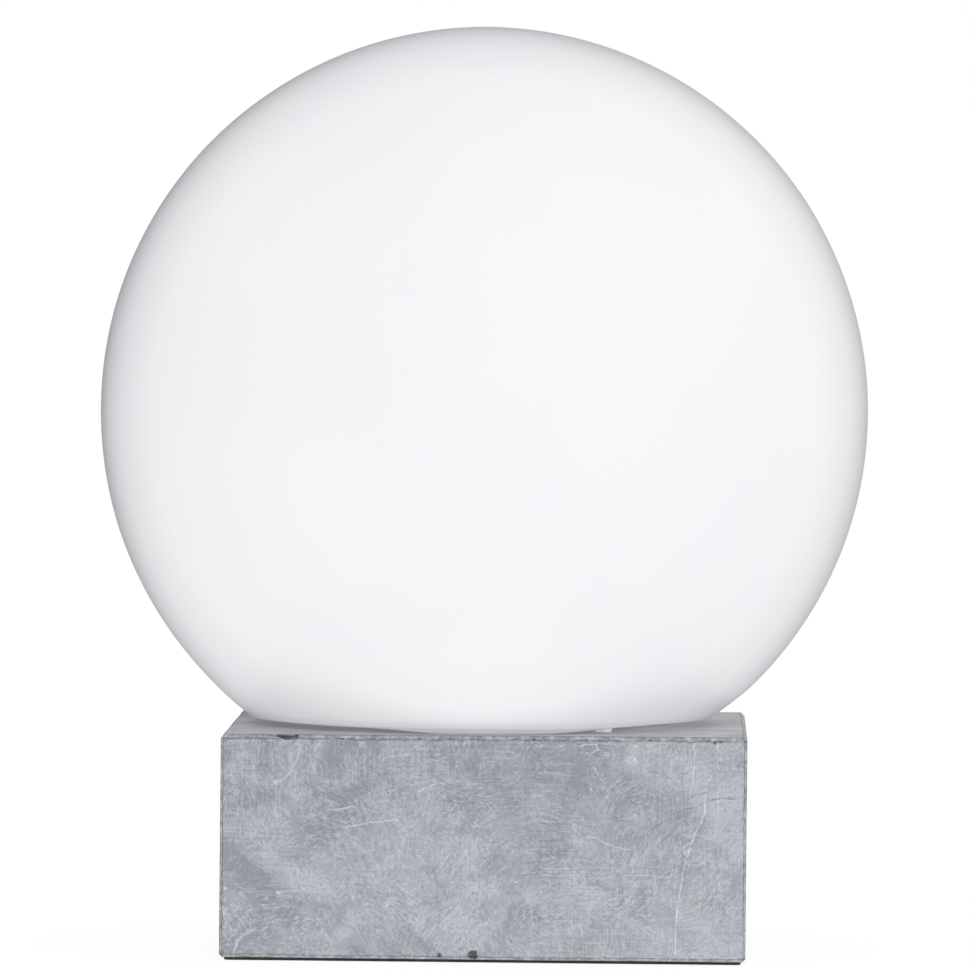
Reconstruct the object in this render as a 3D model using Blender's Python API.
"""Table lamp: a closed opal glass globe that rests loose on a square block of
natural stone.

The stone is bored through the middle. A threaded tube holds the lamp holder
on top of the block and its nut in a recess turned out of the underside, where
the mains cord is clamped. The cord leaves through the back face, passes an
in-line rocker switch and lies in a flat coil that ends in a two-pin plug.
Three clear bumpers under the glass keep it off the stone, and a dish with a
turned-up rim keeps the globe centred.

Metres, +Z up. The origin is the middle of the base pad's underside, the front
of the lamp faces -Y and the cord leaves towards +Y.
"""

import math

import bmesh
import bpy
from mathutils import Vector

MM = 0.001

# ---------------------------------------------------------------- shared dimensions
GAP = 0.3 * MM  # between pieces that rest on or in each other

BLOCK_SIDE = 200.0 * MM
BLOCK_HEIGHT = 85.0 * MM
PAD_THICKNESS = 0.7 * MM
STONE_BOTTOM = PAD_THICKNESS + GAP
STONE_TOP = STONE_BOTTOM + BLOCK_HEIGHT
RECESS_CEILING = STONE_BOTTOM + 50.0 * MM

BULB_TIP_Z = 119.3 * MM
THREAD_PITCH = 3.629 * MM
THREAD_DEPTH = 0.5 * MM  # half of the height from root to crest
CAP_MEAN_RADIUS = 12.65 * MM

CORD_RADIUS = 3.2 * MM
CORD_WAY_RADIUS = CORD_RADIUS + 0.4 * MM  # channels that the cord lies in
CORD_BORE_Z = 26.0 * MM
CORD_FLOOR_Z = 3.4 * MM
CLAMPED_CORD_Z = RECESS_CEILING - 3.6 * MM
CORD_END_Y = 12.2 * MM

SWITCH_CENTRE = Vector((-2.0 * MM, 160.0 * MM, 0.0))
SWITCH_LENGTH = 62.0 * MM
SWITCH_SPLIT_Z = 8.45 * MM  # joint of the case halves and axis of the cord
COIL_CENTRE = Vector((-2.0 * MM, 256.0 * MM, 0.0))
PLUG_CENTRE = COIL_CENTRE + Vector((0.0, 4.0 * MM, 7.2 * MM))

# rotations that lay the Z axis of a piece along another direction
UPRIGHT = (0, 0, 0)
TOWARDS_RIGHT = (0, math.radians(90), 0)  # +X
TOWARDS_BACK = (math.radians(-90), 0, 0)  # +Y
TOWARDS_FRONT = (math.radians(90), 0, 0)  # -Y

SIDES = ((-1, "left"), (1, "right"))
POLES = ((-1, "live"), (1, "neutral"))

for old in list(bpy.data.objects):
    bpy.data.objects.remove(old, do_unlink=True)


# ---------------------------------------------------------------- materials
def material(name, colour, roughness, metallic=0.0, alpha=1.0):
    made = bpy.data.materials.new(name)
    made.use_nodes = True
    shader = made.node_tree.nodes["Principled BSDF"]
    shader.inputs["Base Color"].default_value = (*colour, 1.0)
    shader.inputs["Roughness"].default_value = roughness
    shader.inputs["Metallic"].default_value = metallic
    shader.inputs["Alpha"].default_value = alpha
    return made


STONE = material("blue_grey_stone", colour=(0.36, 0.37, 0.40), roughness=0.62)
PAD = material("black_foam", colour=(0.02, 0.02, 0.02), roughness=0.9)
OPAL = material("opal_glass", colour=(0.90, 0.90, 0.91), roughness=0.35)
CLEAR = material("clear_silicone", colour=(0.80, 0.82, 0.84), roughness=0.25, alpha=0.6)
ZINC = material("zinc_plated_steel", colour=(0.55, 0.56, 0.57), roughness=0.35, metallic=0.9)
WHITE_ENAMEL = material(
    "white_enamelled_steel", colour=(0.85, 0.85, 0.84), roughness=0.4, metallic=0.1
)
BRASS = material("brass", colour=(0.70, 0.52, 0.22), roughness=0.3, metallic=0.95)
NICKEL = material("nickel_plate", colour=(0.62, 0.61, 0.58), roughness=0.25, metallic=0.95)
PORCELAIN = material("porcelain", colour=(0.86, 0.85, 0.80), roughness=0.3)
HOLDER_PLASTIC = material("white_holder_plastic", colour=(0.83, 0.83, 0.81), roughness=0.35)
CORD_PLASTIC = material("white_cord", colour=(0.80, 0.80, 0.79), roughness=0.45)
LIVE_SLEEVE = material("brown_core", colour=(0.16, 0.07, 0.03), roughness=0.4)
NEUTRAL_SLEEVE = material("blue_core", colour=(0.03, 0.12, 0.40), roughness=0.4)
NYLON = material("grey_nylon", colour=(0.45, 0.46, 0.47), roughness=0.5)
BULB_WHITE = material("bulb_housing_white", colour=(0.84, 0.84, 0.83), roughness=0.35)
DIFFUSER = material("bulb_diffuser", colour=(0.90, 0.90, 0.88), roughness=0.3)
BLACK_GLASS = material("black_glass", colour=(0.02, 0.02, 0.025), roughness=0.15)
BOARD = material("circuit_board", colour=(0.05, 0.22, 0.10), roughness=0.5)
ALU_BOARD = material("aluminium_board", colour=(0.75, 0.76, 0.77), roughness=0.35, metallic=0.8)


# ---------------------------------------------------------------- placing and cutting
def place(name, shape, finish, location=(0, 0, 0), rotation=UPRIGHT, parent=None):
    """Turn a finished bmesh into a named object. A parent's own place is taken
    off, so location is always given from the world's origin."""
    bmesh.ops.recalc_face_normals(shape, faces=shape.faces)
    if shape.calc_volume(signed=True) < 0:
        bmesh.ops.reverse_faces(shape, faces=shape.faces)
    mesh = bpy.data.meshes.new(name)
    shape.to_mesh(mesh)
    shape.free()
    mesh.shade_smooth()
    mesh.set_sharp_from_angle(angle=math.radians(32))
    if finish:
        mesh.materials.append(finish)
    made = bpy.data.objects.new(name, mesh)
    bpy.context.scene.collection.objects.link(made)
    made.location = Vector(location)
    made.rotation_euler = rotation
    if parent:
        made.location = Vector(location) - parent.location
        made.parent = parent
    return made


def axis_empty(name, location):
    made = bpy.data.objects.new(name, None)
    made.empty_display_size = 0.02
    made.location = Vector(location)
    bpy.context.scene.collection.objects.link(made)
    return made


def combine(target, name, shape, location, rotation, how):
    """Combine a hidden helper with a piece by a Boolean modifier."""
    helper = place(name, shape, None, location, rotation)
    helper.hide_render = True
    helper.display_type = "WIRE"
    modifier = target.modifiers.new(name, "BOOLEAN")
    modifier.object = helper
    modifier.operation = how
    modifier.solver = "EXACT"


def cut(target, name, shape, location=(0, 0, 0)):
    combine(target, name, shape, location, UPRIGHT, "DIFFERENCE")


def join(target, name, shape, location, rotation):
    combine(target, name, shape, location, rotation, "UNION")


def bore(target, name, radius, length, segments, start, direction=UPRIGHT):
    """Take a cylinder that begins at start out of a piece."""
    combine(target, name, rod(radius, length, segments), start, direction, "DIFFERENCE")


# ---------------------------------------------------------------- shapes
def in_mm(*points):
    """Points given in millimetres, as a list in metres."""
    return [tuple(value * MM for value in point) for point in points]


def vector_mm(x, y, z):
    return Vector((x, y, z)) * MM


def turned(profile, segments):
    """Spin an (r, z) outline once round Z. An outline that starts and ends on
    the axis is closed by the axis, any other is closed by its last edge."""
    shape = bmesh.new()
    corners = [shape.verts.new((r, 0.0, z)) for r, z in profile]
    edges = [shape.edges.new(pair) for pair in zip(corners, corners[1:])]
    if not (profile[0][0] < 1e-9 and profile[-1][0] < 1e-9):
        edges.append(shape.edges.new((corners[-1], corners[0])))
    bmesh.ops.spin(
        shape,
        geom=corners + edges,
        axis=(0, 0, 1),
        cent=(0, 0, 0),
        steps=segments,
        angle=2 * math.pi,
        use_merge=True,
    )
    bmesh.ops.remove_doubles(shape, verts=shape.verts, dist=1e-6)
    return shape


def bevel_edges(shape, edges, offset, segments):
    bmesh.ops.bevel(
        shape, geom=edges, offset=offset, segments=segments, profile=0.5, affect="EDGES"
    )


def block(size, centre=(0, 0, 0), bevel=0.0, segments=2, upright_only=False):
    """A box, with all its edges or only the upright ones bevelled."""
    shape = bmesh.new()
    bmesh.ops.create_cube(shape, size=1.0)
    bmesh.ops.scale(shape, vec=size, verts=shape.verts)
    bmesh.ops.translate(shape, vec=centre, verts=shape.verts)
    if bevel:
        edges = [
            edge
            for edge in shape.edges
            if not upright_only or abs((edge.verts[0].co - edge.verts[1].co).z) > 1e-9
        ]
        bevel_edges(shape, edges, bevel, segments)
    return shape


def rod(radius, length, segments):
    """A cylinder from z = 0 up to length."""
    shape = bmesh.new()
    bmesh.ops.create_cone(
        shape, cap_ends=True, segments=segments, radius1=radius, radius2=radius, depth=length
    )
    bmesh.ops.translate(shape, vec=(0, 0, length / 2), verts=shape.verts)
    return shape


def prism(outline, depth, along="Y"):
    """Extrude a flat outline by depth, half to each side of its plane. Along Y
    the outline is (x, z), along Z it is (x, y)."""
    shape = bmesh.new()
    if along == "Y":
        corners = [shape.verts.new((x, -depth / 2, z)) for x, z in outline]
        move = (0, depth, 0)
    else:
        corners = [shape.verts.new((x, y, -depth / 2)) for x, y in outline]
        move = (0, 0, depth)
    face = shape.faces.new(corners)
    grown = bmesh.ops.extrude_face_region(shape, geom=[face])
    moved = [item for item in grown["geom"] if isinstance(item, bmesh.types.BMVert)]
    bmesh.ops.translate(shape, vec=move, verts=moved)
    return shape


def neighbours(points, i):
    """The points before and after point i, or point i itself at an end."""
    return points[max(i - 1, 0)], points[min(i + 1, len(points) - 1)]


def bent_strip(line, sheet, width):
    """Sheet metal of even thickness whose top follows an (x, z) line, width in Y."""
    below = []
    for i, (x, z) in enumerate(line):
        behind, ahead = neighbours(line, i)
        run = Vector((ahead[0] - behind[0], ahead[1] - behind[1])).normalized()
        below.append((x + run.y * sheet, z - run.x * sheet))
    return prism(list(line) + below[::-1], width)


def cubic(start, start_run, end, end_run, share):
    """Value at share (0 to 1) of a Hermite cubic between numbers or vectors."""
    return (
        start * (2 * share**3 - 3 * share**2 + 1)
        + start_run * (share**3 - 2 * share**2 + share)
        + end * (3 * share**2 - 2 * share**3)
        + end_run * (share**3 - share**2)
    )


def route(stations):
    """Points along a chain of (point, run, steps to reach it) stations."""
    points = [stations[0][0]]
    for (start, start_run, _), (end, end_run, steps) in zip(stations, stations[1:]):
        points += [
            cubic(start, start_run, end, end_run, k / steps) for k in range(1, steps + 1)
        ]
    return points


def swept(points, radius, sides):
    """A round cord along a line of points, its frame carried without twist."""
    shape = bmesh.new()
    normal = (points[1] - points[0]).normalized().orthogonal().normalized()
    turns = [2 * math.pi * k / sides for k in range(sides)]
    rings = []
    for i, point in enumerate(points):
        behind, ahead = neighbours(points, i)
        run = (ahead - behind).normalized()
        normal = (normal - run * normal.dot(run)).normalized()
        other = run.cross(normal)
        rings.append(
            [
                shape.verts.new(point + radius * (normal * math.cos(turn) + other * math.sin(turn)))
                for turn in turns
            ]
        )
    for ring, following in zip(rings, rings[1:]):
        bridge(shape, ring, following)
    shape.faces.new(rings[0])
    shape.faces.new(rings[-1])
    return shape


def bridge(shape, lower, upper):
    for k in range(len(lower)):
        j = (k + 1) % len(lower)
        shape.faces.new((lower[k], lower[j], upper[j], upper[k]))


# ---------------------------------------------------------------- screw threads
THREAD_SEGMENTS = 20
THREAD_STEP = THREAD_PITCH / 6  # six levels in one pitch


def wave(z, angle):
    """Height of a right-hand thread, -1 at its root and 1 at its crest, for z
    from the world's origin while the bulb is screwed home."""
    return math.cos(2 * math.pi * z / THREAD_PITCH - angle)


def fade(z, low, high):
    """0 outside the threaded length, 1 well inside it."""
    lead = THREAD_PITCH / 2
    return max(0.0, min(1.0, (z - low) / lead, (high - z) / lead))


def plain(radius):
    """A radius that is the same at every height and angle."""
    return lambda z, angle: radius


def thread_levels(low, high, radius_of):
    """(z, radius function) rows, evenly spaced over a threaded length."""
    count = math.ceil((high - low) / THREAD_STEP)
    return [(low + (high - low) * k / count, radius_of) for k in range(count + 1)]


def threaded(levels, origin_z=0.0):
    """A hollow body skinned over rings, from the first row of (z, radius
    function) through the last and back to the first."""
    shape = bmesh.new()
    angles = [2 * math.pi * k / THREAD_SEGMENTS for k in range(THREAD_SEGMENTS)]
    rings = []
    for z, radius_of in levels:
        ring = []
        for angle in angles:
            radius = radius_of(z, angle)
            corner = (radius * math.cos(angle), radius * math.sin(angle), z - origin_z)
            ring.append(shape.verts.new(corner))
        rings.append(ring)
    for ring, following in zip(rings, rings[1:] + rings[:1]):
        bridge(shape, ring, following)
    return shape


# ---------------------------------------------------------------- stone base
BLOCK_CHAMFER = 1.7 * MM
PAD_INSET = 1.7 * MM
PAD_CORNER = 2.5 * MM
RECESS_RADIUS = 50.0 * MM
RECESS_OVERCUT = 5 * MM
TUBE_BORE_RADIUS = 6.0 * MM
CORD_BORE_RADIUS = 7.6 * MM
CLAMP_Y = 17.0 * MM
CLAMP_SCREW_X = 11.0 * MM
PLUG_HOLE_RADIUS = 3.3 * MM


def make_stone_block():
    stone = place(
        "stone_block",
        block(
            (BLOCK_SIDE, BLOCK_SIDE, BLOCK_HEIGHT),
            (0, 0, STONE_BOTTOM + BLOCK_HEIGHT / 2),
            bevel=BLOCK_CHAMFER,
            segments=1,
        ),
        STONE,
    )
    bore(
        stone,
        "cut_recess",
        RECESS_RADIUS,
        length=RECESS_CEILING - STONE_BOTTOM + RECESS_OVERCUT,
        segments=40,
        start=(0, 0, STONE_BOTTOM - RECESS_OVERCUT),
    )
    bore(
        stone,
        "cut_tube_bore",
        TUBE_BORE_RADIUS,
        length=60 * MM,
        segments=20,
        start=(0, 0, RECESS_CEILING - 10 * MM),
    )
    # from inside the recess out through the back face
    bore(
        stone,
        "cut_cord_bore",
        CORD_BORE_RADIUS,
        length=70 * MM,
        segments=24,
        start=(0, 40 * MM, CORD_BORE_Z),
        direction=TOWARDS_BACK,
    )
    for side, word in SIDES:
        bore(
            stone,
            "cut_plug_hole_" + word,
            PLUG_HOLE_RADIUS,
            length=25 * MM,
            segments=12,
            start=(side * CLAMP_SCREW_X, CLAMP_Y, RECESS_CEILING - 8 * MM),
        )


def make_base_pad():
    side = BLOCK_SIDE - 2 * PAD_INSET
    shape = block(
        (side, side, PAD_THICKNESS),
        (0, 0, PAD_THICKNESS / 2),
        bevel=PAD_CORNER,
        upright_only=True,
    )
    place("base_pad", shape, PAD)


# ---------------------------------------------------------------- dish, tube and nut
DISH_RADIUS = 50.6 * MM
DISH_HEIGHT = 6.5 * MM
DISH_SHEET = 1.2 * MM
DISH_HOLE_RADIUS = 5.5 * MM
DISH_OUTER_CORNER = 1.2 * MM
DISH_INNER_CORNER = 0.6 * MM
TUBE_RADIUS = 5.0 * MM
TUBE_BORE = 4.0 * MM  # radius
TUBE_CHAMFER = 0.4 * MM
TUBE_BOTTOM = 42.0 * MM
TUBE_TOP = 93.6 * MM
TUBE_HOLE_RADIUS = 5.4 * MM  # in the pieces that sit on the tube
WASHER_RADIUS = 10.0 * MM
WASHER_THICKNESS = 1.5 * MM
WASHER_Z = RECESS_CEILING - GAP - WASHER_THICKNESS
NUT_ACROSS_FLATS = 14.0 * MM
NUT_HEIGHT = 5.0 * MM


def make_globe_locating_dish():
    """A flat steel sheet with a turned-up rim just inside the glass."""
    inner_radius = DISH_RADIUS - DISH_SHEET
    profile = [
        (DISH_HOLE_RADIUS, 0),
        (DISH_RADIUS - DISH_OUTER_CORNER, 0),
        (DISH_RADIUS, DISH_OUTER_CORNER),
        (DISH_RADIUS, DISH_HEIGHT),
        (inner_radius, DISH_HEIGHT),
        (inner_radius, DISH_SHEET + DISH_INNER_CORNER),
        (inner_radius - DISH_INNER_CORNER, DISH_SHEET),
        (DISH_HOLE_RADIUS, DISH_SHEET),
    ]
    place("globe_locating_dish", turned(profile, 32), WHITE_ENAMEL, (0, 0, STONE_TOP + GAP))


def make_mounting_tube():
    length = TUBE_TOP - TUBE_BOTTOM
    profile = [
        (TUBE_BORE, 0),
        (TUBE_RADIUS - TUBE_CHAMFER, 0),
        (TUBE_RADIUS, TUBE_CHAMFER),
        (TUBE_RADIUS, length - TUBE_CHAMFER),
        (TUBE_RADIUS - TUBE_CHAMFER, length),
        (TUBE_BORE, length),
    ]
    place("mounting_tube", turned(profile, 20), ZINC, (0, 0, TUBE_BOTTOM))


def make_tube_washer():
    profile = [
        (TUBE_HOLE_RADIUS, 0),
        (WASHER_RADIUS, 0),
        (WASHER_RADIUS, WASHER_THICKNESS),
        (TUBE_HOLE_RADIUS, WASHER_THICKNESS),
    ]
    place("tube_washer", turned(profile, 20), ZINC, (0, 0, WASHER_Z))


def make_tube_nut():
    corner_radius = NUT_ACROSS_FLATS / 2 / math.cos(math.pi / 6)
    nut = place(
        "tube_nut",
        rod(corner_radius, NUT_HEIGHT, 6),
        ZINC,
        (0, 0, WASHER_Z - GAP - NUT_HEIGHT),
    )
    bore(
        nut,
        "cut_nut_thread",
        TUBE_HOLE_RADIUS,
        length=3 * NUT_HEIGHT,
        segments=20,
        start=(0, 0, RECESS_CEILING - WASHER_THICKNESS - 2.2 * NUT_HEIGHT),
    )


# ---------------------------------------------------------------- lamp holder, screw size E27
HOLDER_RADIUS = 21.3 * MM
HOLDER_INNER_RADIUS = HOLDER_RADIUS - 2.0 * MM
HOLDER_BASE_Z = STONE_TOP + 2 * GAP + DISH_SHEET + 0.3 * MM
LOCK_SCREW_Z = HOLDER_BASE_Z + 3.2 * MM
INSERT_RADIUS = 18.7 * MM
INSERT_CHAMFER = 0.8 * MM
INSERT_BOTTOM = 105.0 * MM
INSERT_TOP = 113.0 * MM
INSERT_HOLE_RADIUS = 1.6 * MM
TERMINAL_X = 8.0 * MM
WIRE_Y = 6.0 * MM
SHELL_BOTTOM = 109.0 * MM
SHELL_HEIGHT = 34.5 * MM
SHELL_SHOULDER = 4.5 * MM  # below the top, where the shell turns inwards
# mouth of the shell, from outside to inside: radius, depth below the top
SHELL_MOUTH = in_mm((20.7, 2.0), (19.3, 0.5), (17.8, 0), (16.6, 0), (16.6, 1.8), (18.4, 2.6))

SLEEVE_BOTTOM = INSERT_TOP + GAP
SLEEVE_TOP = 138.6 * MM
SLEEVE_THREAD_START = 123.6 * MM
SLEEVE_OUTER_RADIUS = 15.2 * MM
SLEEVE_PLAIN_BORE = 14.1 * MM  # radius below the thread
SLEEVE_MEAN_RADIUS = CAP_MEAN_RADIUS + 0.4 * MM

CONTACT_SHEET = 0.5 * MM
CONTACT_WIDTH = 5.0 * MM
CONTACT_TOP_Z = INSERT_TOP + GAP + CONTACT_SHEET
TERMINAL_SHANK = 9.0 * MM
# radius, z
TERMINAL_SCREW_PROFILE = in_mm(
    (0, 0), (1.25, 0), (1.25, 9.0), (2.4, 9.0), (2.4, 10.4), (1.9, 10.9), (0, 10.9)
)


def make_holder_base():
    rim_z = SHELL_BOTTOM - 0.4 * MM - HOLDER_BASE_Z
    seat_z = INSERT_BOTTOM - GAP - HOLDER_BASE_Z
    floor_z = 6.5 * MM
    profile = [
        (TUBE_HOLE_RADIUS, 0),
        *in_mm((14.0, 0), (18.2, 3.2), (20.6, 7.4)),
        (HOLDER_RADIUS, 11.5 * MM),
        (HOLDER_RADIUS, rim_z),
        (HOLDER_INNER_RADIUS, rim_z),
        (HOLDER_INNER_RADIUS, seat_z),
        (17.2 * MM, seat_z),
        (16.0 * MM, floor_z),
        (TUBE_HOLE_RADIUS, floor_z),
    ]
    base = place("holder_base", turned(profile, 24), HOLDER_PLASTIC, (0, 0, HOLDER_BASE_Z))
    bore(
        base,
        "cut_lock_screw_hole",
        radius=1.8 * MM,
        length=20 * MM,
        segments=12,
        start=(0, -3.0 * MM, LOCK_SCREW_Z),
        direction=TOWARDS_FRONT,
    )


def make_holder_lock_screw():
    profile = in_mm((0, 0), (0.9, 0), (1.45, 0.6), (1.45, 8.6), (0, 8.6))
    place(
        "holder_lock_screw",
        turned(profile, 12),
        ZINC,
        (0, -5.4 * MM, LOCK_SCREW_Z),
        TOWARDS_FRONT,
    )


def make_holder_insert():
    height = INSERT_TOP - INSERT_BOTTOM
    profile = [
        (0, 0),
        (INSERT_RADIUS - INSERT_CHAMFER, 0),
        (INSERT_RADIUS, INSERT_CHAMFER),
        (INSERT_RADIUS, height - INSERT_CHAMFER),
        (INSERT_RADIUS - INSERT_CHAMFER, height),
        (0, height),
    ]
    insert = place("holder_insert", turned(profile, 24), PORCELAIN, (0, 0, INSERT_BOTTOM))
    for side, word in POLES:
        for kind, y in (("screw", 0), ("wire", WIRE_Y)):
            bore(
                insert,
                "cut_%s_hole_%s" % (kind, word),
                INSERT_HOLE_RADIUS,
                length=30 * MM,
                segments=12,
                start=(side * TERMINAL_X, y, INSERT_BOTTOM - 10 * MM),
            )


def make_holder_shell():
    shoulder_z = SHELL_HEIGHT - SHELL_SHOULDER
    profile = [
        (HOLDER_INNER_RADIUS, 0),
        (HOLDER_RADIUS, 0),
        (HOLDER_RADIUS, shoulder_z),
        *[(radius, SHELL_HEIGHT - depth) for radius, depth in SHELL_MOUTH],
        (HOLDER_INNER_RADIUS, shoulder_z),
    ]
    place("holder_shell", turned(profile, 24), HOLDER_PLASTIC, (0, 0, SHELL_BOTTOM))


def sleeve_bore(z, angle):
    strength = fade(z, SLEEVE_THREAD_START, SLEEVE_TOP)
    crest = SLEEVE_MEAN_RADIUS + THREAD_DEPTH
    return crest - THREAD_DEPTH * strength * (1 - wave(z, angle))


def make_thread_sleeve():
    """The brass sleeve: plain below, with the female screw pressed in above."""
    levels = [
        (SLEEVE_BOTTOM, plain(SLEEVE_OUTER_RADIUS)),
        (SLEEVE_TOP, plain(SLEEVE_OUTER_RADIUS)),
        *reversed(thread_levels(SLEEVE_THREAD_START, SLEEVE_TOP, sleeve_bore)),
        (SLEEVE_THREAD_START - 0.8 * MM, plain(SLEEVE_PLAIN_BORE)),
        (SLEEVE_BOTTOM, plain(SLEEVE_PLAIN_BORE)),
    ]
    place("thread_sleeve", threaded(levels), BRASS)


def make_contact(name, line, side, pole):
    """A bent brass strip with a hole in its tab, and the screw through it."""
    contact = place(name, bent_strip(line, CONTACT_SHEET, CONTACT_WIDTH), BRASS)
    x = side * TERMINAL_X
    bore(
        contact,
        "cut_tab_hole_" + pole,
        INSERT_HOLE_RADIUS,
        length=6 * MM,
        segments=12,
        start=(x, 0, INSERT_TOP - 2 * MM),
    )
    place(
        "terminal_screw_" + pole,
        turned(TERMINAL_SCREW_PROFILE, 14),
        BRASS,
        (x, 0, CONTACT_TOP_Z + GAP - TERMINAL_SHANK),
    )


def make_contacts():
    # spring tongue under the tip of the bulb
    tongue = [
        (-10.6 * MM, CONTACT_TOP_Z),
        (-4.6 * MM, CONTACT_TOP_Z),
        (-3.2 * MM, BULB_TIP_Z - 1.6 * MM),
        (-1.6 * MM, BULB_TIP_Z - 0.4 * MM),
        (2.6 * MM, BULB_TIP_Z - 0.4 * MM),
        (4.0 * MM, BULB_TIP_Z - 1.2 * MM),
    ]
    # tab that feeds the sleeve
    tab = [
        (4.9 * MM, CONTACT_TOP_Z),
        (12.2 * MM, CONTACT_TOP_Z),
        (13.0 * MM, INSERT_TOP + GAP + 3.6 * MM),
    ]
    make_contact("centre_contact", tongue, -1, "live")
    make_contact("side_contact", tab, 1, "neutral")


# ---------------------------------------------------------------- wires, grommet and clamp
WIRE_RADIUS = 1.0 * MM
WIRE_X = 1.5 * MM  # each wire from the middle of the cord
# radius, z outwards from the inner end
GROMMET_PROFILE = in_mm(
    (3.6, 0), (6.7, 0), (7.1, 0.6), (7.1, 12.3), (10.6, 12.3), (10.6, 13.3),
    (9.8, 14.2), (6.4, 14.6), (5.2, 18.8), (4.7, 19.2), (3.6, 19.2),
)
GROMMET_DEPTH = 12.0 * MM  # of its inner end behind the back face of the stone
CLAMP_HEIGHT = 5.2 * MM
CLAMP_BOTTOM_Z = CLAMPED_CORD_Z - CORD_RADIUS - GAP - 3.2 * MM
CLAMP_CENTRE_Z = CLAMP_BOTTOM_Z + CLAMP_HEIGHT / 2
CLAMP_SCREW_HEAD = 1.8 * MM
CLAMP_PLUG_PROFILE = in_mm((1.8, 0), (2.8, 0), (2.8, 13.0), (2.3, 15.0), (1.8, 15.0))
CLAMP_SCREW_PROFILE = in_mm(
    (0, 0), (2.0, 0), (3.0, 0.9), (3.0, 1.8), (1.45, 1.8), (1.45, 20.5), (0, 22.0)
)


def make_wire(side, pole, finish):
    """A core from the cord's end, down and up through the tube to its terminal."""
    x = side * WIRE_X
    terminal_x = side * TERMINAL_X
    stations = [
        (Vector((x, CORD_END_Y - GAP, CLAMPED_CORD_Z)), vector_mm(0, -6, -1), 0),
        (Vector((x, 9.9 * MM, 43.0 * MM)), vector_mm(0, -1, -7), 5),
        (Vector((x, 5.5 * MM, 34.5 * MM)), vector_mm(0, -6, -5), 5),
        (Vector((x, 0.2 * MM, 39.0 * MM)), vector_mm(0, -1, 9), 7),
        (Vector((x, 0, 60.0 * MM)), vector_mm(0, 0, 20), 2),
        (Vector((x, 0, 94.2 * MM)), vector_mm(0, 0, 10), 2),
        (Vector((terminal_x, WIRE_Y, INSERT_BOTTOM - 0.6 * MM)), vector_mm(0, 0, 12), 8),
        (Vector((terminal_x, WIRE_Y, INSERT_TOP - 1.0 * MM)), vector_mm(0, 0, 10), 1),
    ]
    place("wire_" + pole, swept(route(stations), WIRE_RADIUS, 6), finish)


def make_cable_grommet():
    place(
        "cable_grommet",
        turned(GROMMET_PROFILE, 20),
        CORD_PLASTIC,
        (0, BLOCK_SIDE / 2 - GROMMET_DEPTH, CORD_BORE_Z),
        TOWARDS_BACK,
    )


def make_cord_clamp():
    """Saddle clamp under the ceiling of the recess."""
    clamp = place(
        "cord_clamp",
        block(
            (31 * MM, 7 * MM, CLAMP_HEIGHT),
            (0, CLAMP_Y, CLAMP_CENTRE_Z),
            bevel=0.8 * MM,
            segments=1,
        ),
        NYLON,
    )
    bore(
        clamp,
        "cut_clamp_saddle",
        CORD_WAY_RADIUS,
        length=20 * MM,
        segments=16,
        start=(0, CLAMP_Y - 10 * MM, CLAMPED_CORD_Z),
        direction=TOWARDS_BACK,
    )
    for side, word in SIDES:
        bore(
            clamp,
            "cut_clamp_hole_" + word,
            radius=2.0 * MM,
            length=20 * MM,
            segments=12,
            start=(side * CLAMP_SCREW_X, CLAMP_Y, CLAMP_CENTRE_Z - 10 * MM),
        )


def make_clamp_fixing(side, word):
    """A nylon plug in the stone and the screw that holds the clamp in it."""
    x = side * CLAMP_SCREW_X
    place(
        "clamp_plug_" + word,
        turned(CLAMP_PLUG_PROFILE, 12),
        NYLON,
        (x, CLAMP_Y, RECESS_CEILING + 0.2 * MM),
    )
    place(
        "clamp_screw_" + word,
        turned(CLAMP_SCREW_PROFILE, 12),
        ZINC,
        (x, CLAMP_Y, CLAMP_BOTTOM_Z - GAP - CLAMP_SCREW_HEAD),
    )


# ---------------------------------------------------------------- cord
CORD_SIDES = 8
COIL_OUTER_RADIUS = 82.0 * MM
COIL_PITCH = 7.4 * MM
COIL_TURNS = 3.75
COIL_STEPS = 76


def switch_end_point(side, outwards):
    """A point on the cord's axis, outwards of the switch's left or right end."""
    return SWITCH_CENTRE + Vector((side * (SWITCH_LENGTH / 2 + outwards), 0, SWITCH_SPLIT_Z))


def make_cable_lamp_side():
    """From the clamp through the stone and round into the right end of the switch."""
    bend_y = SWITCH_CENTRE.y
    stations = [
        (Vector((0, CORD_END_Y, CLAMPED_CORD_Z)), vector_mm(0, 9, 0), 0),
        (Vector((0, 21.0 * MM, CLAMPED_CORD_Z)), vector_mm(0, 9, 0), 2),
        (Vector((0, 51.0 * MM, CORD_BORE_Z)), vector_mm(0, 30, 0), 10),
        (Vector((0, 108.0 * MM, CORD_BORE_Z)), vector_mm(0, 40, 0), 3),
        (vector_mm(24.0, 130.6, 9.6), vector_mm(36, 2, -14), 9),
        (Vector((60.0 * MM, 131.0 * MM, CORD_FLOOR_Z)), vector_mm(34, 0, 0), 5),
        (Vector((74.5 * MM, 145.5 * MM, CORD_FLOOR_Z)), vector_mm(0, 24, 0), 6),
        (Vector((60.0 * MM, bend_y, CORD_FLOOR_Z)), vector_mm(-24, 0, 0), 6),
        (switch_end_point(1, 3 * MM), vector_mm(-22, 0, 0), 7),
        (switch_end_point(1, -6 * MM), vector_mm(-9, 0, 0), 1),
    ]
    shape = swept(route(stations), CORD_RADIUS, CORD_SIDES)
    place("cable_lamp_side", shape, CORD_PLASTIC)


def coil_point(turns):
    """A flat spiral that runs clockwise from its leftmost point inwards."""
    angle = math.pi - 2 * math.pi * turns
    radius = COIL_OUTER_RADIUS - COIL_PITCH * turns
    return COIL_CENTRE + Vector(
        (radius * math.cos(angle), radius * math.sin(angle), CORD_FLOOR_Z)
    )


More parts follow.
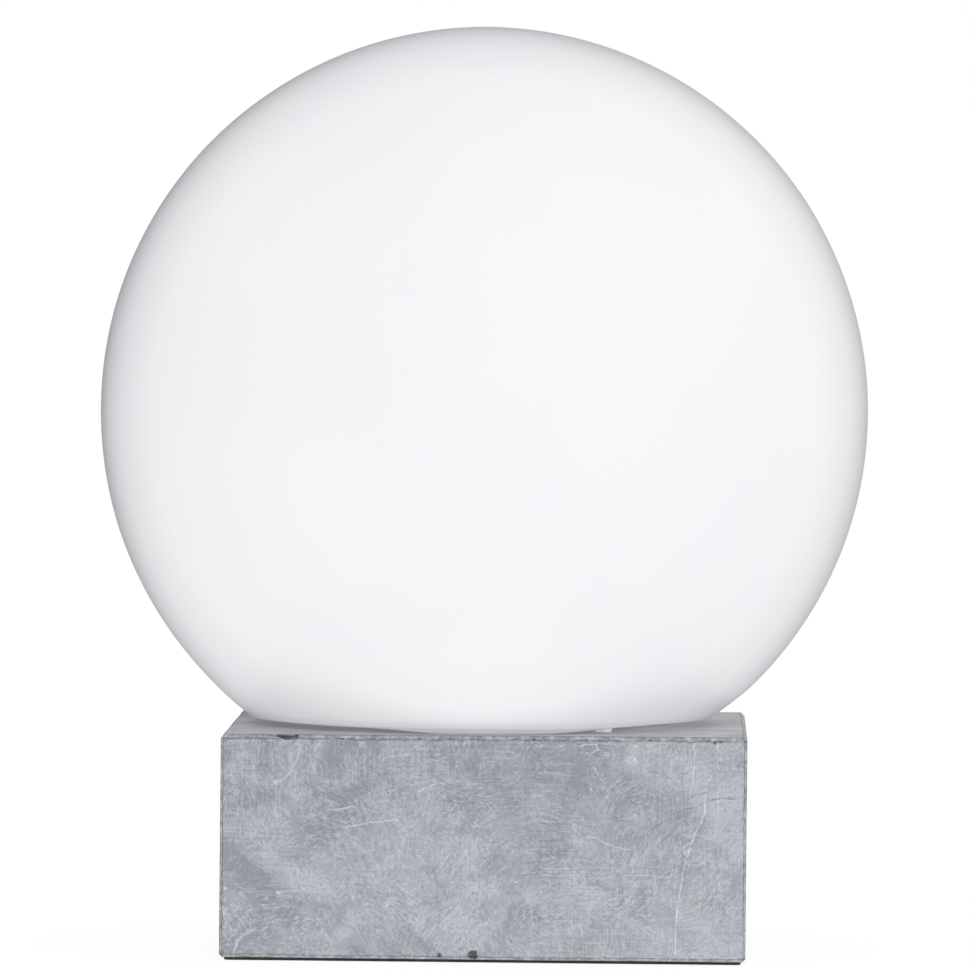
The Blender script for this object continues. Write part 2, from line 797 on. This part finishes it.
def make_cable_plug_side():
    """From the left end of the switch round the coil and into the plug."""
    coil_left = COIL_CENTRE.x - COIL_OUTER_RADIUS
    switch_y = SWITCH_CENTRE.y
    lead_in = [
        (switch_end_point(-1, -6 * MM), vector_mm(-9, 0, 0), 0),
        (switch_end_point(-1, 3 * MM), vector_mm(-9, 0, 0), 1),
        (
            Vector((coil_left + 27 * MM, switch_y, CORD_FLOOR_Z + 0.2 * MM)),
            vector_mm(-20, 0, -1),
            5,
        ),
        (Vector((coil_left, switch_y + 29 * MM, CORD_FLOOR_Z)), vector_mm(0, 45, 0), 8),
        (coil_point(0.0), vector_mm(0, 60, 0), 4),
    ]
    coil = [coil_point(COIL_TURNS * k / COIL_STEPS) for k in range(1, COIL_STEPS + 1)]
    lead_out = [
        (coil[-1], vector_mm(-78, -6, 0), 0),
        (PLUG_CENTRE + vector_mm(-31, 0, 0), vector_mm(62, 0, 2), 14),
        (PLUG_CENTRE + vector_mm(-24, 0, 0), vector_mm(7, 0, 0), 1),
    ]
    line = route(lead_in) + coil + route(lead_out)[1:]
    place("cable_plug_side", swept(line, CORD_RADIUS, CORD_SIDES), CORD_PLASTIC)


# ---------------------------------------------------------------- switch
SWITCH_WIDTH = 26.0 * MM
SWITCH_TOP_Z = 17.3 * MM
CASE_CORNER = 5.0 * MM
CASE_HALF_GAP = 0.15 * MM  # from the split to each half of the case
ROOM_SIZE = (53 * MM, 15 * MM, 12 * MM)  # hollow in each half
ROOM_FLOOR_Z = 2.4 * MM
ROOM_ROOF_Z = SWITCH_TOP_Z - 2.0 * MM
CASE_SCREW_HOLE_RADIUS = 1.5 * MM
CASE_SCREW_SEAT_RADIUS = 2.6 * MM
CASE_SCREW_PROFILE = in_mm(
    (0, 0), (2.2, 0), (2.2, 1.5), (1.15, 1.5), (1.15, 12.4), (0, 13.2)
)

# metal parts seen from the front: x, z
TERMINAL_IN_OUTLINE = in_mm(
    (-19.0, 2.7), (1.2, 2.7), (1.2, 3.5), (-12.0, 3.5), (-12.0, 7.6), (-19.0, 7.6)
)
TERMINAL_OUT_OUTLINE = in_mm(
    (3.4, 2.7), (19.0, 2.7), (19.0, 7.6), (12.0, 7.6), (12.0, 3.5), (3.4, 3.5)
)
NEUTRAL_LINK_OUTLINE = in_mm(
    (-19.0, 2.7), (19.0, 2.7), (19.0, 7.6), (13.0, 7.6),
    (13.0, 3.7), (-13.0, 3.7), (-13.0, 7.6), (-19.0, 7.6),
)
# name, outline, width in Y, offset in Y from the middle of the switch;
# the live side is switched, the neutral runs through on one link
SWITCH_METAL = (
    ("switch_terminal_in", TERMINAL_IN_OUTLINE, 4.6 * MM, 3.6 * MM),
    ("switch_terminal_out", TERMINAL_OUT_OUTLINE, 4.6 * MM, 3.6 * MM),
    ("switch_neutral_link", NEUTRAL_LINK_OUTLINE, 4.0 * MM, -4.6 * MM),
)

ROCKER_AXIS = SWITCH_CENTRE + Vector((0, 0, 12.0 * MM))
ROCKER_TILT = (0, math.radians(-7.0), 0)
ROCKER_WIDTH = 10.4 * MM
PIVOT_RADIUS = 1.2 * MM
PIVOT_LENGTH = 14.2 * MM
# x, z from the rocker's axis
ROCKER_OUTLINE = in_mm(
    (-10.4, 2.6), (-6.0, 0.2), (-2.6, -4.6), (2.6, -4.6), (6.0, 0.2), (10.4, 2.6),
    (10.4, 6.4), (5.2, 5.1), (0.0, 4.7), (-5.2, 5.1), (-10.4, 6.4),
)
CONTACT_BRIDGE_OUTLINE = in_mm(
    (-6.4, -6.3), (-5.2, -5.5), (5.2, -5.5), (6.4, -6.3),
    (6.4, -6.8), (5.0, -6.0), (-5.0, -6.0), (-6.4, -6.8),
)


def case_screw_place(side, z):
    """The two case screws lie on a diagonal: left at the back, right in front."""
    return SWITCH_CENTRE + Vector((side * 20 * MM, -side * 10.2 * MM, z))


def switch_case(name, bottom, top):
    shape = block(
        (SWITCH_LENGTH, SWITCH_WIDTH, top - bottom),
        (0, 0, (bottom + top) / 2),
        bevel=CASE_CORNER,
        segments=3,
        upright_only=True,
    )
    return place(name, shape, CORD_PLASTIC, SWITCH_CENTRE)


def cut_cord_ways(case, word):
    """One channel through both ends of a case half."""
    bore(
        case,
        "cut_cord_ways_" + word,
        CORD_WAY_RADIUS,
        length=SWITCH_LENGTH + 10 * MM,
        segments=16,
        start=switch_end_point(-1, 5 * MM),
        direction=TOWARDS_RIGHT,
    )


def make_switch_lower_case():
    case = switch_case("switch_lower_case", GAP, SWITCH_SPLIT_Z - CASE_HALF_GAP)
    room = block(ROOM_SIZE, (0, 0, ROOM_FLOOR_Z + ROOM_SIZE[2] / 2))
    cut(case, "cut_lower_room", room, SWITCH_CENTRE)
    cut_cord_ways(case, "lower")
    for side, word in SIDES:
        start = case_screw_place(side, -5 * MM)
        bore(
            case,
            "cut_lower_screw_hole_" + word,
            CASE_SCREW_HOLE_RADIUS,
            length=20 * MM,
            segments=12,
            start=start,
        )
        bore(
            case,
            "cut_lower_screw_seat_" + word,
            CASE_SCREW_SEAT_RADIUS,
            length=7.5 * MM,
            segments=12,
            start=start,
        )


def make_switch_upper_case():
    case = switch_case("switch_upper_case", SWITCH_SPLIT_Z + CASE_HALF_GAP, SWITCH_TOP_Z)
    room = block(ROOM_SIZE, (0, 0, ROOM_ROOF_Z - ROOM_SIZE[2] / 2))
    cut(case, "cut_upper_room", room, SWITCH_CENTRE)
    window = block((23.4 * MM, 11.4 * MM, 12 * MM), (0, 0, SWITCH_TOP_Z))
    cut(case, "cut_rocker_window", window, SWITCH_CENTRE)
    cut_cord_ways(case, "upper")
    for side, word in SIDES:
        bore(
            case,
            "cut_upper_screw_hole_" + word,
            CASE_SCREW_HOLE_RADIUS,
            length=10 * MM,
            segments=12,
            start=case_screw_place(side, 4.4 * MM),
        )


def make_switch_case_screws():
    for side, word in SIDES:
        place(
            "switch_case_screw_" + word,
            turned(CASE_SCREW_PROFILE, 12),
            ZINC,
            case_screw_place(side, 0.7 * MM),
        )


def make_switch_metal():
    for name, outline, width, y in SWITCH_METAL:
        place(name, prism(outline, width), BRASS, SWITCH_CENTRE + Vector((0, y, 0)))


def make_switch_rocker():
    """The rocker and the bridge under it, which turn on one axis across the cord."""
    axis = axis_empty("rocker_axis", ROCKER_AXIS)
    rocker = place(
        "switch_rocker",
        prism(ROCKER_OUTLINE, ROCKER_WIDTH),
        BULB_WHITE,
        ROCKER_AXIS,
        ROCKER_TILT,
        axis,
    )
    join(
        rocker,
        "join_rocker_pivot",
        rod(PIVOT_RADIUS, PIVOT_LENGTH, 12),
        ROCKER_AXIS - Vector((0, PIVOT_LENGTH / 2, 0)),
        TOWARDS_BACK,
    )
    place(
        "switch_contact_bridge",
        prism(CONTACT_BRIDGE_OUTLINE, 4.0 * MM),
        BRASS,
        ROCKER_AXIS + vector_mm(0, 3.2, 0),
        ROCKER_TILT,
        axis,
    )


# ---------------------------------------------------------------- plug, its pins towards +X
PLUG_THICKNESS = 13.4 * MM
PLUG_EDGE = 1.6 * MM
PIN_Y = 9.3  # millimetres from the plug's axis
# x, y from the plug's centre
PLUG_OUTLINE = in_mm(
    (-19.0, -5.2), (-12.0, -9.0), (-3.0, -15.0), (6.0, -17.6), (16.0, -17.6),
    (16.0, 17.6), (6.0, 17.6), (-3.0, 15.0), (-12.0, 9.0), (-19.0, 5.2),
)
# radius, z along the piece
PLUG_TAIL_PROFILE = in_mm((0, 0), (4.5, 0), (4.8, 0.6), (5.3, 14.0), (0, 14.0))
PIN_PROFILE = in_mm((0, 0), (2.0, 0), (2.0, 25.4), (1.5, 26.6), (0.6, 27.1), (0, 27.2))


def make_plug_body():
    shape = prism(PLUG_OUTLINE, PLUG_THICKNESS, "Z")
    bevel_edges(shape, list(shape.edges), PLUG_EDGE, 2)
    body = place("plug_body", shape, CORD_PLASTIC, PLUG_CENTRE)
    join(
        body,
        "join_plug_tail",
        turned(PLUG_TAIL_PROFILE, 16),
        PLUG_CENTRE + vector_mm(-30.5, 0, 0),
        TOWARDS_RIGHT,
    )
    bore(
        body,
        "cut_plug_cord_way",
        CORD_WAY_RADIUS,
        length=12 * MM,
        segments=16,
        start=PLUG_CENTRE + vector_mm(-35, 0, 0),
        direction=TOWARDS_RIGHT,
    )
    for side, word in SIDES:
        bore(
            body,
            "cut_pin_socket_" + word,
            radius=2.35 * MM,
            length=14 * MM,
            segments=14,
            start=PLUG_CENTRE + vector_mm(7.5, side * PIN_Y, 0),
            direction=TOWARDS_RIGHT,
        )


def make_plug_pins():
    for side, word in SIDES:
        place(
            "plug_pin_" + word,
            turned(PIN_PROFILE, 14),
            NICKEL,
            PLUG_CENTRE + vector_mm(7.9, side * PIN_Y, 0),
            TOWARDS_RIGHT,
        )


# ---------------------------------------------------------------- glass globe and bumpers
GLOBE_RADIUS = 149.0 * MM
GLASS_THICKNESS = 3.2 * MM
# the loose globe rests off centre, against the dish
GLOBE_CENTRE = (-2.75 * MM, 0, STONE_TOP + 121.4 * MM)
GLOBE_FLAT_DROP = 119.5 * MM  # centre of the globe to the flat of its underside
GLOBE_OPENING_RADIUS = 53.8 * MM
GLOBE_EDGE_RADIUS = 3.0 * MM
BUMPER_RADIUS = 3.2 * MM
BUMPER_GAP = 0.2 * MM  # above and below each bumper
BUMPER_CIRCLE = 80.5 * MM  # radius
BUMPER_ANGLES_DEG = (-53.5, 61.0, 174.0)


def globe_side(radius, flat_z, upper, lower, bend):
    """(r, z) points of one face of the glass from the pole to the flat floor,
    with the corner between ball and floor rounded. The counts are of rings
    above the equator, below it and round the corner."""
    edge = GLOBE_EDGE_RADIUS
    corner_z = flat_z + edge
    corner_r = math.sqrt((radius - edge) ** 2 - corner_z**2)
    last = math.atan2(corner_r, corner_z)
    angles = [math.pi / 2 * k / upper for k in range(upper)]
    angles += [math.pi / 2 + (last - math.pi / 2) * k / lower for k in range(lower + 1)]
    points = [(radius * math.sin(angle), radius * math.cos(angle)) for angle in angles]
    points[0] = (0.0, radius)
    for k in range(1, bend + 1):
        angle = last + (math.pi - last) * k / bend
        points.append((corner_r + edge * math.sin(angle), corner_z + edge * math.cos(angle)))
    return points


def make_globe_glass(axis):
    outer_face = globe_side(GLOBE_RADIUS, -GLOBE_FLAT_DROP, upper=10, lower=6, bend=3)
    inner_face = globe_side(
        GLOBE_RADIUS - GLASS_THICKNESS,
        -GLOBE_FLAT_DROP + GLASS_THICKNESS,
        upper=8,
        lower=5,
        bend=2,
    )
    lip = GLASS_THICKNESS / 2
    lip_r = GLOBE_OPENING_RADIUS + lip
    lip_z = -GLOBE_FLAT_DROP + lip
    opening_lip = [
        (lip_r - lip * math.sin(angle), lip_z - lip * math.cos(angle))
        for angle in (0.0, math.pi / 3, 2 * math.pi / 3, math.pi)
    ]
    shape = turned(outer_face + opening_lip + inner_face[::-1], 40)
    place("globe_glass", shape, OPAL, GLOBE_CENTRE, parent=axis)


def make_bumpers(axis):
    globe_x, globe_y, globe_z = GLOBE_CENTRE
    bottom = STONE_TOP + BUMPER_GAP
    height = globe_z - GLOBE_FLAT_DROP - BUMPER_GAP - bottom
    profile = [
        *in_mm((0, 0), (1.4, 0.05), (2.3, 0.4), (2.9, 0.9)),
        (BUMPER_RADIUS, height),
        (0, height),
    ]
    for number, degrees in enumerate(BUMPER_ANGLES_DEG, 1):
        angle = math.radians(degrees)
        x = globe_x + BUMPER_CIRCLE * math.cos(angle)
        y = globe_y + BUMPER_CIRCLE * math.sin(angle)
        place("bumper_%d" % number, turned(profile, 16), CLEAR, (x, y, bottom), parent=axis)


# ---------------------------------------------------------------- bulb, z measured from its tip
BULB_LENGTH = 108.0 * MM
BALL_RADIUS = 30.0 * MM
BALL_Z = BULB_LENGTH - BALL_RADIUS
BALL_TANGENT = math.radians(35.0)  # below the ball's equator, where the flare meets it
TANGENT_Z = BALL_Z - BALL_RADIUS * math.sin(BALL_TANGENT)
NECK_Z = 28.0 * MM
NECK_RADIUS = 13.6 * MM
JOINT_Z = 58.0 * MM  # top of the housing
HOUSING_WALL = 1.6 * MM
HOUSING_STEPS = 5
DIFFUSER_WALL = 1.2 * MM
BALL_STEPS = 8
# radius, z
TIP_PROFILE = in_mm((0, 0), (2.8, 0.15), (4.2, 0.7), (4.6, 1.5), (0, 1.5))
INSULATOR_PROFILE = in_mm(
    (0, 1.8), (5.6, 1.8), (8.4, 3.2), (10.8, 5.0), (10.8, 6.4), (0, 6.4)
)
# the cap's heights are from the world's origin, to match the sleeve's thread
CAP_BOTTOM = BULB_TIP_Z + 5.3 * MM
CAP_THREAD_START = BULB_TIP_Z + 6.6 * MM
CAP_THREAD_END = BULB_TIP_Z + 23.0 * MM
CAP_TOP = BULB_TIP_Z + 26.0 * MM
CAP_INNER_RADIUS = 11.35 * MM


def place_on_bulb(name, shape, finish, axis):
    place(name, shape, finish, (0, 0, BULB_TIP_Z), parent=axis)


def bulb_radius(z):
    """Outer radius of the bulb above its neck: a cubic flare into a ball."""
    if z >= TANGENT_Z:
        return math.sqrt(max(0.0, BALL_RADIUS**2 - (z - BALL_Z) ** 2))
    span = TANGENT_Z - NECK_Z
    return cubic(
        start=NECK_RADIUS,
        start_run=0.05 * span,
        end=BALL_RADIUS * math.cos(BALL_TANGENT),
        end_run=math.tan(BALL_TANGENT) * span,
        share=max(0.0, (z - NECK_Z) / span),
    )


def cap_face(z, angle):
    strength = fade(z, CAP_THREAD_START, CAP_THREAD_END)
    root = CAP_MEAN_RADIUS - THREAD_DEPTH
    return root + THREAD_DEPTH * strength * (1 + wave(z, angle))


def make_bulb_cap(axis):
    levels = [
        (CAP_BOTTOM, plain(11.7 * MM)),
        *thread_levels(CAP_THREAD_START, CAP_THREAD_END, cap_face),
        (CAP_THREAD_END + 1.2 * MM, plain(13.2 * MM)),
        (CAP_TOP, plain(13.3 * MM)),
        (CAP_TOP, plain(CAP_INNER_RADIUS)),
        (CAP_BOTTOM, plain(CAP_INNER_RADIUS)),
    ]
    place_on_bulb("bulb_cap", threaded(levels, origin_z=BULB_TIP_Z), NICKEL, axis)


def make_bulb_housing(axis):
    levels = [
        NECK_Z + (JOINT_Z - NECK_Z) * k / HOUSING_STEPS for k in range(HOUSING_STEPS + 1)
    ]
    profile = [
        *in_mm((12.0, 26.3), (13.2, 26.3)),
        *[(bulb_radius(z), z) for z in levels],
        *[(bulb_radius(z) - HOUSING_WALL, z) for z in levels[::-1]],
    ]
    place_on_bulb("bulb_housing", turned(profile, 24), BULB_WHITE, axis)


def ball_arc(radius):
    """(r, z) points of the ball from where the flare meets it up to the pole."""
    points = []
    for k in range(BALL_STEPS):
        angle = -BALL_TANGENT + (math.pi / 2 + BALL_TANGENT) * k / BALL_STEPS
        points.append((radius * math.cos(angle), BALL_Z + radius * math.sin(angle)))
    return points + [(0.0, BALL_Z + radius)]


def make_bulb_diffuser(axis):
    bottom = JOINT_Z + GAP
    flare = [bottom, (bottom + TANGENT_Z) / 2]
    profile = [
        *ball_arc(BALL_RADIUS)[::-1],
        *[(bulb_radius(z), z) for z in flare[::-1]],
        *[(bulb_radius(z) - DIFFUSER_WALL, z) for z in flare],
        *ball_arc(BALL_RADIUS - DIFFUSER_WALL),
    ]
    place_on_bulb("bulb_diffuser", turned(profile, 24), DIFFUSER, axis)


def make_bulb_led_board(axis):
    place(
        "bulb_led_board",
        rod(18.5 * MM, 1.4 * MM, 24),
        ALU_BOARD,
        (0, 0, BULB_TIP_Z + 56.0 * MM),
        parent=axis,
    )


def make_bulb_driver_board(axis):
    shape = block((16 * MM, 1.6 * MM, 44 * MM), (0, 0, 31 * MM))
    place_on_bulb("bulb_driver_board", shape, BOARD, axis)


# ---------------------------------------------------------------- build
make_stone_block()
make_base_pad()
make_globe_locating_dish()
make_mounting_tube()
make_tube_washer()
make_tube_nut()

make_holder_base()
make_holder_lock_screw()
make_holder_insert()
make_holder_shell()
make_thread_sleeve()
make_contacts()

for (side, pole), finish in zip(POLES, (LIVE_SLEEVE, NEUTRAL_SLEEVE)):
    make_wire(side, pole, finish)
make_cable_grommet()
make_cord_clamp()
for side, word in SIDES:
    make_clamp_fixing(side, word)

make_cable_lamp_side()
make_cable_plug_side()
make_switch_lower_case()
make_switch_upper_case()
make_switch_case_screws()
make_switch_metal()
make_switch_rocker()
make_plug_body()
make_plug_pins()

globe_axis = axis_empty("globe_axis", GLOBE_CENTRE)
make_globe_glass(globe_axis)
make_bumpers(globe_axis)

bulb_axis = axis_empty("bulb_axis", (0, 0, BULB_TIP_Z))
place_on_bulb("bulb_tip_contact", turned(TIP_PROFILE, 20), NICKEL, bulb_axis)
place_on_bulb("bulb_insulator", turned(INSULATOR_PROFILE, 24), BLACK_GLASS, bulb_axis)
make_bulb_cap(bulb_axis)
make_bulb_housing(bulb_axis)
make_bulb_diffuser(bulb_axis)
make_bulb_led_board(bulb_axis)
make_bulb_driver_board(bulb_axis)
